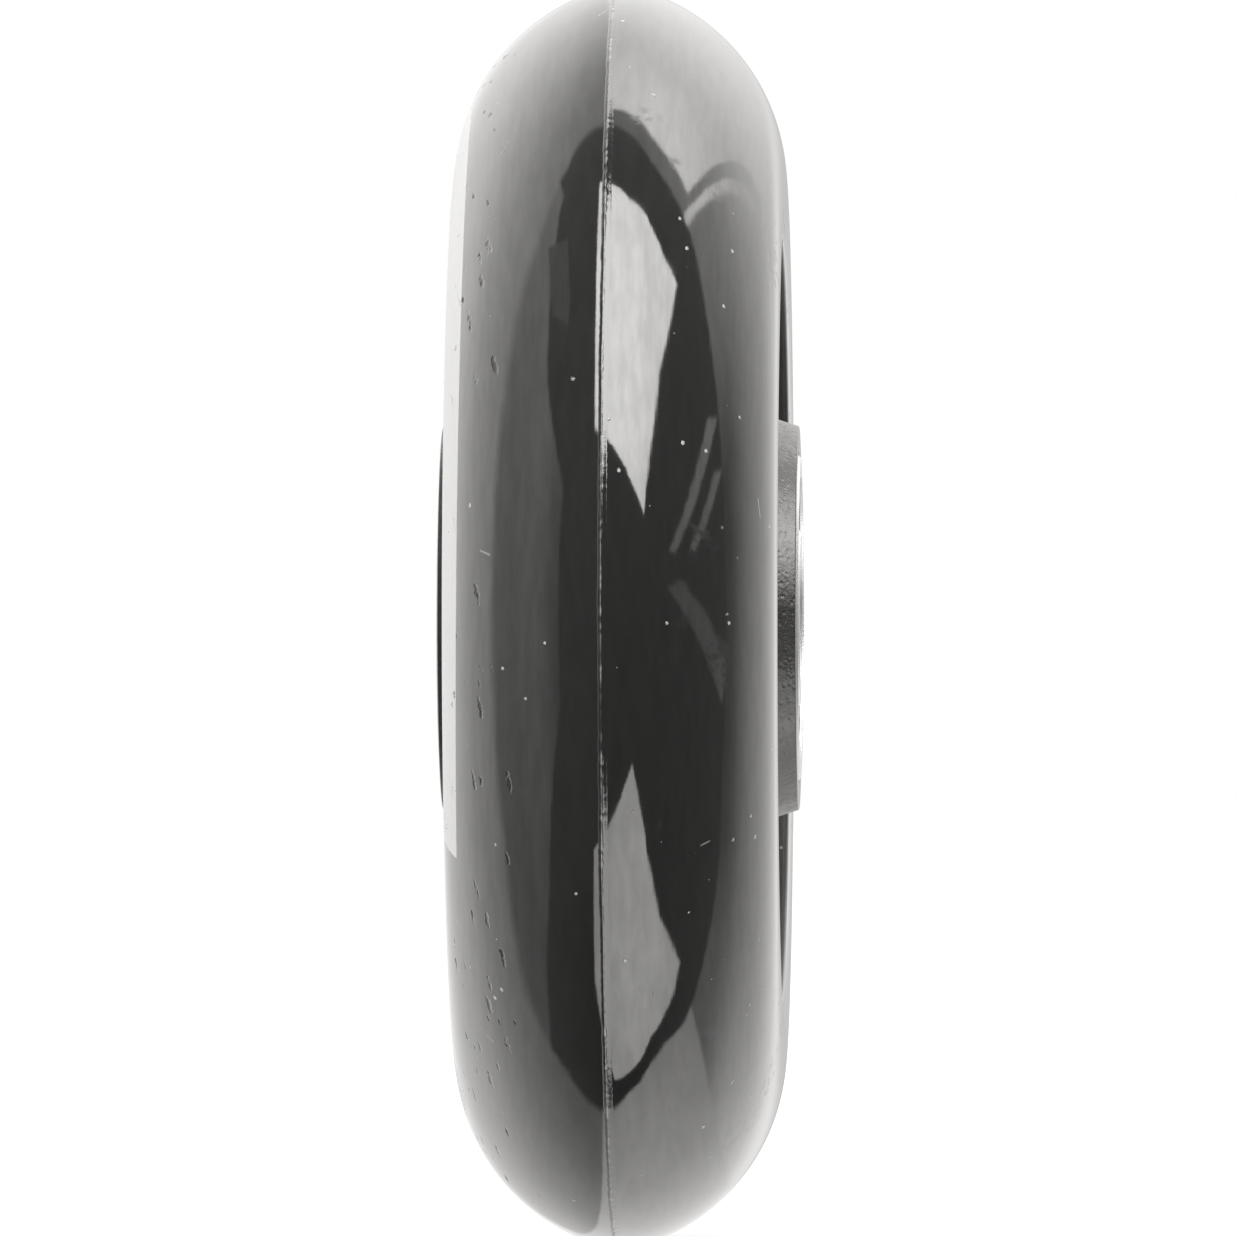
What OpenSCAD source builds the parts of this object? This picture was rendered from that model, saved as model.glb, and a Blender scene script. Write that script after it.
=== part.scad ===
// Inline skate wheel: a cast tyre on a spoked core, with two shielded ball bearings and the spacer between them.
// The origin is the middle of the wheel, the axle lies along +Y and +Z is up. Left is -Y and right is +Y.
// Round pieces are drawn about a Z axis and laid along the axle at the end. All lengths are in millimetres.

/* [Tyre] */
// Diameter over the crown of the tread
wheel_d = 84; // [80:1:90]
// Width between the sidewalls, at their widest
tyre_w = 22; // [20:0.5:24]
// Radius of the crown, across the tread
crown_r = 7; // [6:0.25:8.5]
// Height of the tread's curve, from the widest part to the crown
tread_h = 13; // [11:0.5:14]
// Depth of the cast tyre, from the core's rim to the crown
tyre_depth = 16.4; // [15:0.2:18]
// Rounding of the lip where the sidewall meets the core
lip_round = 0.4; // [0.2:0.1:1]
// How far the lip stands in from the widest part
lip_in = 0.24; // [0.1:0.02:0.4]
// Height of the flash that the mould's parting line leaves
flash_h = 0.12; // [0.06:0.02:0.2]
// Width of that flash at the tread's surface
flash_w = 0.3; // [0.2:0.05:0.5]
// Distance of the parting line from the middle of the tread, to the left
flash_shift = 0.3; // [0:0.1:0.6]

/* [Core] */
// Depth of the rim's sides below the tyre's sidewalls
rim_recess = 3; // [2:0.25:4]
// Thickness of the rim
rim_t = 3; // [2.5:0.25:4]
// Chamfer on the inner edges of the rim
rim_chamfer = 0.5; // [0.2:0.1:1]
// Height of the flange that the tyre is cast around
flange_h = 4; // [3:0.25:6]
// Thickness of that flange
flange_t = 4; // [3:0.25:6]
// Number of holes through the flange, which the tyre fills
anchor_count = 20; // [12:1:24]
// Diameter of those holes
anchor_d = 2.6; // [2:0.1:3]
// Number of spokes
spoke_count = 10; // [8:1:12]
// Width of a spoke, seen from the side
spoke_w = 4; // [3:0.25:5]
// Thickness of a spoke at its ends, along the axle
spoke_end_t = 12; // [10.5:0.5:14]
// Thickness of a spoke at its middle, where both its sides are dished
spoke_t = 8; // [6:0.5:10]
// Rounding of the windows' corners
window_round = 1.4; // [0.8:0.1:2]
// Solid ring between the hub's barrel and the windows
hub_ring = 1.2; // [0.8:0.1:2]
// Wall of the hub's barrel around a bearing
barrel_wall = 2.24; // [1.8:0.1:3]
// Length of the taper on each end of the barrel
taper_l = 1.4; // [0.8:0.1:2]
// How much that taper takes off the barrel's radius
taper_h = 0.45; // [0.2:0.05:0.8]
// How far the ends of the barrel stand inside the faces of the bearings
hub_inset = 0.12; // [0.04:0.02:0.2]
// Chamfer at the mouth of a bearing seat
seat_chamfer = 0.3; // [0.2:0.05:0.5]
// Height of the shoulder between the two bearing seats
shoulder_h = 1.7; // [1.2:0.1:2.2]

/* [Bearings] */
// Bore of a bearing, for the axle
bore_d = 8; // [6:0.5:9]
// Outside diameter of a bearing
bearing_d = 22; // [20:0.5:24]
// Width of a bearing
bearing_w = 7; // [6.5:0.25:8]
// Diameter of a ball
ball_d = 3.969; // [3.5:0.001:4.5]
// Number of balls in a bearing
ball_count = 7; // [6:1:7]
// Radius of a race's groove, as a share of the ball's diameter
race_conformity = 0.52; // [0.51:0.005:0.54]
// Depth of a race's groove
race_depth = 0.55; // [0.4:0.05:0.8]
// Chamfer on the edges of the rings
ring_chamfer = 0.3; // [0.2:0.05:0.5]
// Thickness of a shield
shield_t = 0.3; // [0.2:0.05:0.4]
// Depth of a shield's seat below the face of its ring
shield_recess = 0.9; // [0.8:0.05:1.2]
// Width of the ledge that a shield sits on
shield_ledge = 0.5; // [0.3:0.05:0.7]
// Width of the flat outer band of a shield
shield_band = 0.9; // [0.7:0.1:1.2]
// How far a shield's middle is pressed outwards
shield_press = 0.15; // [0.1:0.05:0.25]
// Diameter of the wire of a shield's clip
clip_wire = 0.36; // [0.3:0.02:0.4]
// Angle of the gap in that clip
clip_gap = 24; // [10:1:40]
// Radial thickness of a cage
cage_t = 1.8; // [1.4:0.1:2.2]
// How far the horns of a cage reach past the balls' centres
horn_h = 1.1; // [0.8:0.1:1.4]
// Width of the slot between two horns
slot_w = 1; // [0.6:0.1:1.4]
// Depth of that slot
slot_h = 1.8; // [1:0.1:2.2]

/* [Spacer] */
// Length of the spacer between the bearings
spacer_l = 10; // [8:0.5:12]
// Wall of the spacer
spacer_wall = 1.3; // [1:0.1:1.6]
// Chamfer on the ends of the spacer
spacer_chamfer = 0.3; // [0.1:0.05:0.5]

/* [Clearances] */
// Between a ball and each race
ball_gap = 0.04; // [0.02:0.01:0.06]
// Between a ball and its pocket in the cage
pocket_gap = 0.1; // [0.05:0.01:0.15]
// Between the back of a cage and the shield beside it
cage_gap = 0.15; // [0.1:0.05:0.25]
// Between a bearing and the wall of its seat
seat_gap = 0.01; // [0.005:0.005:0.02]
// Between a bearing and the shoulder, so that the spacer carries the clamping force
shoulder_gap = 0.05; // [0.02:0.01:0.1]
// Between the edge of a shield and the wall of its seat
shield_edge_gap = 0.03; // [0.02:0.01:0.05]
// Between a shield and the turning inner ring
shield_gap = 0.2; // [0.1:0.05:0.3]
// Between a clip and its groove
clip_seat_gap = 0.02; // [0.01:0.01:0.03]

/* [Hidden] */
$fn = 128;
WINDOW_FN = 32;

// Tyre: a crown arc runs smoothly into two side arcs, and these into flatter arcs down the sidewalls
wheel_r = wheel_d / 2;
rim_r = wheel_r - tyre_depth;
sidewall_r = wheel_r - tread_h;
crown_centre_r = wheel_r - crown_r;
crown_rise = crown_centre_r - sidewall_r;
side_arc_r = (pow(tyre_w / 2, 2) + pow(crown_rise, 2) - pow(crown_r, 2)) / (tyre_w - 2 * crown_r);
side_centre = tyre_w / 2 - side_arc_r;
blend_r = sidewall_r + side_arc_r * crown_rise / (side_arc_r - crown_r);
lip_r = min(lip_round, (sidewall_r - rim_r) / 2);
lip_centre = tyre_w / 2 - lip_in - lip_r;
sidewall_h = sidewall_r - rim_r - lip_r;
sidewall_arc_r = (pow(sidewall_h, 2) / lip_in + lip_in) / 2 + lip_r;
sidewall_centre = tyre_w / 2 - sidewall_arc_r;

// Core
hub_w = spacer_l + 2 * bearing_w - 2 * hub_inset;
seat_r = bearing_d / 2 + seat_gap;
barrel_r = seat_r + barrel_wall;
shoulder_r = seat_r - shoulder_h;
shoulder_w = spacer_l - 2 * shoulder_gap;
rim_w = tyre_w - 2 * rim_recess;
rim_inner_r = rim_r - rim_t;
dish_span = rim_inner_r - barrel_r;
dish_depth = (spoke_end_t - spoke_t) / 2;
dish_r = (pow(dish_span / 2, 2) + pow(dish_depth, 2)) / (2 * dish_depth);
window_r = barrel_r + hub_ring;
spoke_angle = 360 / spoke_count;

// Bearings, each drawn about its own middle
bearing_centre = (spacer_l + bearing_w) / 2;
bore_r = bore_d / 2;
ball_r = ball_d / 2;
pitch_r = (bearing_d + bore_d) / 4;
race_r = race_conformity * ball_d;
inner_groove_r = pitch_r - ball_r - ball_gap;
outer_groove_r = pitch_r + ball_r + ball_gap;
inner_land_r = inner_groove_r + race_depth;
outer_land_r = outer_groove_r - race_depth;
ledge_r = outer_land_r + shield_ledge;
shield_z = bearing_w / 2 - shield_recess;
clip_z = shield_z + shield_t + clip_wire / 2 + clip_seat_gap;
cage_back = shield_z - cage_gap;

// Spacer
spacer_r = bore_r + spacer_wall;

SIDES = ["left", "right"];
BEARING_PIECES = [
    "outer_ring", "inner_ring", "cage",
    "outer_shield", "inner_shield", "outer_clip", "inner_clip"
];

// Lays a piece drawn about Z along the axle
module along_axle() {
    rotate([-90, 0, 0]) children();
}

// Puts a bearing's piece in its seat, with its outer side away from the wheel's middle
module in_bearing(side) {
    along_axle()
        mirror([0, 0, side == "left" ? 1 : 0])
            translate([0, 0, bearing_centre])
                children();
}

// Repeats a profile on both sides of the middle plane, where Y is the distance along the axle
module both_sides() {
    children();
    mirror([0, 1]) children();
}

// Closes an outline whose points are given for the side away from the middle plane only
function closed_by_mirror(points) =
    concat(points, [for (i = [len(points) - 1 : -1 : 0]) [points[i].x, -points[i].y]]);

// Profile of a tube with all four edges chamfered
module chamfered_tube(inner_r, outer_r, width, chamfer) {
    end = width / 2;
    polygon(closed_by_mirror([
        [outer_r, end - chamfer], [outer_r - chamfer, end],
        [inner_r + chamfer, end], [inner_r, end - chamfer]
    ]));
}

module crown_profile() {
    intersection() {
        translate([crown_centre_r, 0]) circle(r = crown_r);
        translate([blend_r, -tyre_w / 2]) square([crown_r, tyre_w]);
    }
}

// The part of the profile between two radii that an arc bounds on each side
module between_arcs(from_r, to_r, arc_r, arc_centre) {
    intersection() {
        translate([from_r, -tyre_w]) square([to_r - from_r, 2 * tyre_w]);
        translate([sidewall_r, arc_centre]) circle(r = arc_r);
        translate([sidewall_r, -arc_centre]) circle(r = arc_r);
    }
}

// What the rounding of the lip takes off, up to where it meets the sidewall's arc
module lip_corner() {
    meeting_r = sidewall_r - sidewall_h * sidewall_arc_r / (sidewall_arc_r - lip_r);
    difference() {
        translate([rim_r - lip_r, lip_centre]) square([meeting_r - rim_r + lip_r, 2 * lip_r]);
        translate([rim_r + lip_r, lip_centre]) circle(r = lip_r);
    }
}

module sidewall_profile() {
    difference() {
        between_arcs(rim_r, sidewall_r, sidewall_arc_r, sidewall_centre);
        both_sides() lip_corner();
    }
}

module flash_profile() {
    translate([wheel_r, -flash_shift])
        polygon([[-flash_h, -flash_w], [flash_h, 0], [-flash_h, flash_w]]);
}

// The flange that locks the tyre to the core, pierced so that the tyre runs through it
module anchor_flange() {
    difference() {
        rotate_extrude()
            translate([rim_r - rim_t / 2, -flange_t / 2])
                square([rim_t / 2 + flange_h, flange_t]);
        for (i = [0 : anchor_count - 1])
            rotate(i * 360 / anchor_count)
                translate([rim_r + flange_h / 2, 0])
                    cylinder(d = anchor_d, h = 2 * flange_t, center = true);
    }
}

module tyre() {
    color("#1d1c1b")
        along_axle()
            difference() {
                rotate_extrude() {
                    crown_profile();
                    between_arcs(sidewall_r, blend_r, side_arc_r, side_centre);
                    sidewall_profile();
                    flash_profile();
                }
                anchor_flange();
            }
}

module barrel_profile() {
    end = hub_w / 2;
    polygon(closed_by_mirror([
        [barrel_r, end - taper_l], [barrel_r - taper_h, end],
        [seat_r + seat_chamfer, end], [seat_r, end - seat_chamfer]
    ]));
}

module shoulder_profile() {
    translate([shoulder_r, -shoulder_w / 2]) square([shoulder_h + barrel_wall / 2, shoulder_w]);
}

// The web that the windows divide into spokes, reaching into the barrel and the rim
module spoke_profile() {
    web_r = barrel_r - barrel_wall / 2;
    difference() {
        translate([web_r, -spoke_end_t / 2]) square([rim_inner_r + rim_t / 2 - web_r, spoke_end_t]);
        both_sides()
            translate([barrel_r + dish_span / 2, spoke_t / 2 + dish_r]) circle(r = dish_r);
    }
}

module rim_profile() {
    end = rim_w / 2;
    polygon(closed_by_mirror([
        [rim_r, end], [rim_inner_r + rim_chamfer, end], [rim_inner_r, end - rim_chamfer]
    ]));
}

// One window between two spokes, whose middle line is +X
module window() {
    half_angle = spoke_angle / 2;
    apex = spoke_w / 2 / sin(half_angle);
    offset(r = window_round, $fn = WINDOW_FN)
        offset(delta = -window_round)
            intersection() {
                difference() {
                    circle(r = rim_inner_r);
                    circle(r = window_r);
                }
                translate([apex, 0])
                    polygon([
                        [0, 0],
                        [rim_r, -rim_r * tan(half_angle)],
                        [rim_r, rim_r * tan(half_angle)]
                    ]);
            }
}

module core() {
    color("#262626")
        along_axle()
            union() {
                difference() {
                    rotate_extrude() {
                        barrel_profile();
                        shoulder_profile();
                        spoke_profile();
                        rim_profile();
                    }
                    for (i = [0 : spoke_count - 1])
                        rotate((i + 0.5) * spoke_angle)
                            linear_extrude(height = hub_w, center = true) window();
                }
                anchor_flange();
            }
}

module outer_ring() {
    color("silver")
        rotate_extrude()
            difference() {
                chamfered_tube(outer_land_r, bearing_d / 2, bearing_w, ring_chamfer);
                translate([outer_groove_r - race_r, 0]) circle(r = race_r);
                both_sides() {
                    translate([0, shield_z]) square([ledge_r, bearing_w]);
                    translate([ledge_r, clip_z]) circle(r = clip_wire / 2 + clip_seat_gap);
                }
            }
}

module inner_ring() {
    color("silver")
        rotate_extrude()
            difference() {
                chamfered_tube(bore_r, inner_land_r, bearing_w, ring_chamfer);
                translate([inner_groove_r + race_r, 0]) circle(r = race_r);
            }
}

// A pressed sheet ring: its flat outer band sits on the ledge, and its middle stands a little outwards
module shield() {
    outer_edge = ledge_r - shield_edge_gap;
    bend = outer_edge - shield_band;
    inner_edge = inner_land_r + shield_gap;
    color("lightsteelblue")
        translate([0, 0, shield_z])
            rotate_extrude()
                polygon([
                    [inner_edge, shield_press], [bend - shield_t, shield_press], [bend, 0], [outer_edge, 0],
                    [outer_edge, shield_t], [bend, shield_t],
                    [bend - shield_t, shield_press + shield_t], [inner_edge, shield_press + shield_t]
                ]);
}

// An open ring of round wire, sprung into the groove outside its shield
module clip() {
    color("gainsboro")
        translate([0, 0, clip_z])
            rotate(clip_gap / 2)
                rotate_extrude(angle = 360 - clip_gap)
                    translate([ledge_r, 0]) circle(d = clip_wire);
}

module to_ball(i) {
    rotate((i - 1) * 360 / ball_count) translate([pitch_r, 0, 0]) children();
}

module ball(i) {
    color("whitesmoke") to_ball(i) sphere(r = ball_r);
}

// A crown: one closed ring on the outer side, with sprung horns that hold the balls from the other
module cage() {
    color("tan")
        difference() {
            rotate_extrude()
                translate([pitch_r - cage_t / 2, -horn_h]) square([cage_t, horn_h + cage_back]);
            for (i = [1 : ball_count]) {
                to_ball(i) sphere(r = ball_r + pocket_gap);
                to_ball(i + 0.5)
                    translate([0, 0, -horn_h])
                        cube([2 * cage_t, slot_w, 2 * slot_h], center = true);
            }
        }
}

module bearing_spacer() {
    color("#b9bcc0")
        along_axle()
            rotate_extrude()
                chamfered_tube(bore_r, spacer_r, spacer_l, spacer_chamfer);
}

tyre();
core();
bearing_spacer();
for (side = SIDES) {
    in_bearing(side) outer_ring();
    in_bearing(side) inner_ring();
    in_bearing(side) cage();
    in_bearing(side) shield();
    in_bearing(side) mirror([0, 0, 1]) shield();
    in_bearing(side) clip();
    in_bearing(side) mirror([0, 0, 1]) clip();
    for (i = [1 : ball_count]) {
        in_bearing(side) ball(i);
    }
}
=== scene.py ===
"""Dresses the inline skate wheel: its cast tyre, moulded core and bearings, on a pale floor in soft
studio light.

The wheel's axle lies along Y and the camera stands on +X. Lengths are in millimetres until MM makes
them metres.
"""
import math
import random
from collections import namedtuple

import bmesh
import bpy
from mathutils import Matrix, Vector


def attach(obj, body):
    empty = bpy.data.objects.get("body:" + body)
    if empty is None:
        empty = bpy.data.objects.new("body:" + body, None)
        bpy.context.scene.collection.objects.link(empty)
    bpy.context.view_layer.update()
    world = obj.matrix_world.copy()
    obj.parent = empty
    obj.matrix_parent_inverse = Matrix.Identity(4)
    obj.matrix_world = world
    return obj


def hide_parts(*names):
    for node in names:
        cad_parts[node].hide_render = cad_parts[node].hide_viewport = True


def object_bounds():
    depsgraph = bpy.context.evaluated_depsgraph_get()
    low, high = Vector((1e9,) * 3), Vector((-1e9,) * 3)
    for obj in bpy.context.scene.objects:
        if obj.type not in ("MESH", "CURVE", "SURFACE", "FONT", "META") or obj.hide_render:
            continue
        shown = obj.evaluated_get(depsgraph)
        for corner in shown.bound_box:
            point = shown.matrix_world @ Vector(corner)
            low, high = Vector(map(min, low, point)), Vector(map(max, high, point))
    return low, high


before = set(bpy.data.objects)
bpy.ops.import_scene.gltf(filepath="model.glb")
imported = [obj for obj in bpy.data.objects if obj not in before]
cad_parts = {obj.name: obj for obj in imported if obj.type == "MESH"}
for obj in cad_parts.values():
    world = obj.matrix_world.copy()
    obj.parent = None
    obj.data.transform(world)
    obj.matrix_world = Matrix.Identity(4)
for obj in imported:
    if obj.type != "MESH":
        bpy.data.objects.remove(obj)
CAD_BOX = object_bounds()

# A millimetre in metres, and how near in millimetres two vertices become one
MM = 0.001
WELD = 0.001
SIDES = {"left": -1, "right": 1}
FACES = {"outer": 1, "inner": -1}

# Tyre. It is widest TREAD_H below its top, and the side of its lip lies LIP_IN inside that.
# The centres of its section's arcs are (radius, y), and BORE_ROWS are rows of vertices in its bore
WHEEL_R = 42.0
TYRE_HALF = 11.0
TYRE_DEPTH = 16.4
TREAD_H = 13.0
CROWN_R = 7.0
LIP_R = 0.4
LIP_IN = 0.24
RIM_R = WHEEL_R - TYRE_DEPTH
WIDEST_R = WHEEL_R - TREAD_H
CROWN_CENTRE = (WHEEL_R - CROWN_R, 0.0)
CROWN_RISE = CROWN_CENTRE[0] - WIDEST_R
SIDE_R = (TYRE_HALF**2 + CROWN_RISE**2 - CROWN_R**2) / (2 * (TYRE_HALF - CROWN_R))
SIDE_CENTRE = (WIDEST_R, TYRE_HALF - SIDE_R)
LIP_CENTRE = (RIM_R + LIP_R, TYRE_HALF - LIP_IN - LIP_R)
SIDEWALL_R = ((WIDEST_R - LIP_CENTRE[0]) ** 2 / LIP_IN + LIP_IN) / 2 + LIP_R
SIDEWALL_CENTRE = (WIDEST_R, TYRE_HALF - SIDEWALL_R)
BORE_ROWS = (9.4, 8.2, 5.0)
FLANGE_H = 4.0
FLANGE_R = RIM_R + FLANGE_H
FLANGE_HALF = 2.0

# Flash on the parting line. Its torn crest stays FLASH_MARGIN under the solid's plain ridge, which is
# FLASH_TOP high, and its two feet go below the tread
FLASH_SEED = 84
FLASH_STEPS = 2400
FLASH_Y = -0.24
FLASH_TOP = 0.12
FLASH_MARGIN = 0.004
FLASH_SKIN = -0.006
FLASH_ROOT = -0.12

# Print on the left sidewall: arcs with slanted ends, whose outer edge lies a little off the axle.
# The angles are in degrees
PRINT_INNER = 28.0
PRINT_OUTER = 34.28
PRINT_OFF_CENTRE = 0.5
PRINT_START = -28.15
PRINT_ARC = 140.0
PRINT_REPEAT = 180.0
PRINT_MIDDLE = 32.0
PRINT_SLANT = 0.24
PRINT_Y = -8.0
PRINT_SOFT = 0.1
PRINT_END_SOFT = 0.3
PRINT_Y_SOFT = 0.2

# Bearings, each about its own middle. The rings' lands lie LAND_REACH from the circle of the balls
BORE_D = 8.0
BEARING_D = 22.0
BEARING_W = 7.0
SPACER_L = 10.0
BEARING_Y = (SPACER_L + BEARING_W) / 2
BALL_D = 3.969
BALL_GAP = 0.04
RACE_DEPTH = 0.55
PITCH_R = (BEARING_D + BORE_D) / 4
LAND_REACH = BALL_D / 2 + BALL_GAP - RACE_DEPTH

SHIELD_T = 0.3
SHIELD_PRESS = 0.15
SHIELD_RECESS = 0.9
SHIELD_LEDGE = 0.5
SHIELD_BAND = 0.9
SHIELD_GAP = 0.2
SHIELD_EDGE_GAP = 0.03
SHIELD_ROLL = 0.12
SHIELD_SEAT_R = PITCH_R + LAND_REACH + SHIELD_LEDGE
SHIELD_INNER = PITCH_R - LAND_REACH + SHIELD_GAP
SHIELD_OUTER = SHIELD_SEAT_R - SHIELD_EDGE_GAP
SHIELD_BEND = SHIELD_OUTER - SHIELD_BAND
SHIELD_Z = BEARING_W / 2 - SHIELD_RECESS

CLIP_WIRE_R = 0.18
CLIP_GAP = 24.0
CLIP_SEAT_GAP = 0.02
CLIP_R = SHIELD_SEAT_R
CLIP_Z = SHIELD_Z + SHIELD_T + CLIP_WIRE_R + CLIP_SEAT_GAP
CLIP_END_ANGLES = (12, 35, 60)
CLIP_STEPS = 150
CLIP_SIDES = 12

# Core: the hub's barrel, the rim, and the spokes with the windows between them
SEAT_FIT = 0.01
SEAT_CHAMFER = 0.3
SEAT_R = BEARING_D / 2 + SEAT_FIT
HUB_WALL = 2.24
HUB_TAPER = 0.45
HUB_TAPER_L = 1.4
HUB_INSET = 0.12
HUB_ROUND = 0.08
HUB_HALF = SPACER_L / 2 + BEARING_W - HUB_INSET
TAPER_Y = HUB_HALF - HUB_TAPER_L
BARREL_R = SEAT_R + HUB_WALL
BARREL_END_R = BARREL_R - HUB_TAPER
SHOULDER_STEP = 1.7
SHOULDER_INSET = 0.05
SHOULDER_R = SEAT_R - SHOULDER_STEP
SHOULDER_HALF = SPACER_L / 2 - SHOULDER_INSET

RIM_WALL = 3.0
RIM_INSET = 3.0
RIM_CHAMFER = 0.5
RIM_ROUND = 0.25
RIM_INNER_R = RIM_R - RIM_WALL
RIM_HALF = TYRE_HALF - RIM_INSET

SPOKES = 10
SPOKE_HALF = 2.0
SPOKE_END = 6.0
SPOKE_MID = 4.0
ROOT_FILLET = 0.6
EDGE_ROUND = 0.4
EDGE_SHARE = 0.4
WINDOW_FOOT = 1.2
WINDOW_ROUND = 1.4
WINDOW_R = BARREL_R + WINDOW_FOOT

# Rows of the core's mesh: how many go round each part of a window, and where those of a spoke's foot
# begin on the spoke and end on the barrel, as a share of half a sector
FOOT_R = 14.6
FOOT_SHARE = 0.72
CORNER_STEPS = 8
SIDE_STEPS = 8
FOOT_STEPS = 6
ARC_STEPS = 5
WALL_STEPS = 10
EDGE_STEPS = 4

# Colours in linear light
WHITE = (1, 1, 1, 1)
WARM_WHITE = (1.0, 0.99, 0.975, 1)
URETHANE_DARK = (0.0056, 0.0052, 0.0048, 1)
URETHANE_LIGHT = (0.0090, 0.0085, 0.0079, 1)
URETHANE_RUBBED = (0.016, 0.0155, 0.015, 1)
DUST = (0.62, 0.61, 0.59, 1)
INK_LIGHT = (0.70, 0.69, 0.68, 1)
INK_DARK = (0.63, 0.63, 0.62, 1)
FLASH_DARK = (0.0070, 0.0066, 0.0062, 1)
# The flash crest's pale colour: torn urethane, with a painted highlight in it
FLASH_TORN_AND_HIGHLIGHT = (0.34, 0.335, 0.325, 1)
NYLON_DARK = (0.0085, 0.0080, 0.0076, 1)
NYLON_LIGHT = (0.014, 0.0134, 0.0128, 1)
NYLON_RUBBED = (0.034, 0.0325, 0.031, 1)
STEEL_CUT = (0.28, 0.28, 0.29, 1)
BALL_CLEAN = (0.70, 0.69, 0.67, 1)
BALL_OILED = (0.60, 0.60, 0.61, 1)
CAGE_CLEAN = (0.66, 0.57, 0.40, 1)
CAGE_STAINED = (0.50, 0.40, 0.25, 1)
FLOOR_DARK = (0.84, 0.84, 0.84, 1)
FLOOR_LIGHT = (0.86, 0.86, 0.86, 1)

# Studio panels, as corners of (azimuth, elevation) in degrees. Each strip has its own strength
UPPER_BOX = (
    [(-14.5, 34.5), (42.5, 16.5), (62.5, 36.5), (72, 60), (73, 70), (-72, 81)],
    [(62.5, 36.5), (76, 40.5), (86.5, 43), (84.5, 50), (20, 60)],
    [(68, 75), (86, 60), (84.5, 50), (62.5, 36.5), (20, 60)],
)
LOWER_BOX = (
    [(-18, -42), (30, -25), (48, -34), (69, -43.5), (96, -60), (147, -86), (-34, -67.5)],
    [(69, -43.5), (90.5, -43), (93.5, -47.5), (101, -72), (20, -70)],
)
LEFT_FLAT = (
    [(-50, -20), (-50, 20), (-65, 31), (-120, 46), (-120, -48), (-98, -52), (-72, -38)],
    [(-66, 30), (-101, 55), (-120, 50), (-120, 30)],
)
STRIPS = (
    ([(90.5, 21), (97.5, 19), (62.5, 9), (58.5, 9.5)], 2.1),
    ([(92, 14.5), (98, 13.5), (76.5, 8), (71.5, 8.5)], 1.8),
    ([(57, 4.5), (66, 5), (99, -4), (96, -8), (75, -2)], 1.1),
    ([(-92, 47), (-74, 42), (-60, 45), (-63, 50), (-82, 55)], 1.1),
)
PANEL_SOFT = 0.006
STRIP_SOFT = 0.005

# Normals of the planes through the eye that bound the lit ceiling and the lit floor
BROW = (-0.277, -0.753, 0.598)
FLOOR_EDGE = (0.032, -0.677, -0.735)
FLOOR_SOFT = 0.01

Spot = namedtuple("Spot", "point x y z radius")
Row = namedtuple("Row", "point way bound")


# Shader trees


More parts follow.
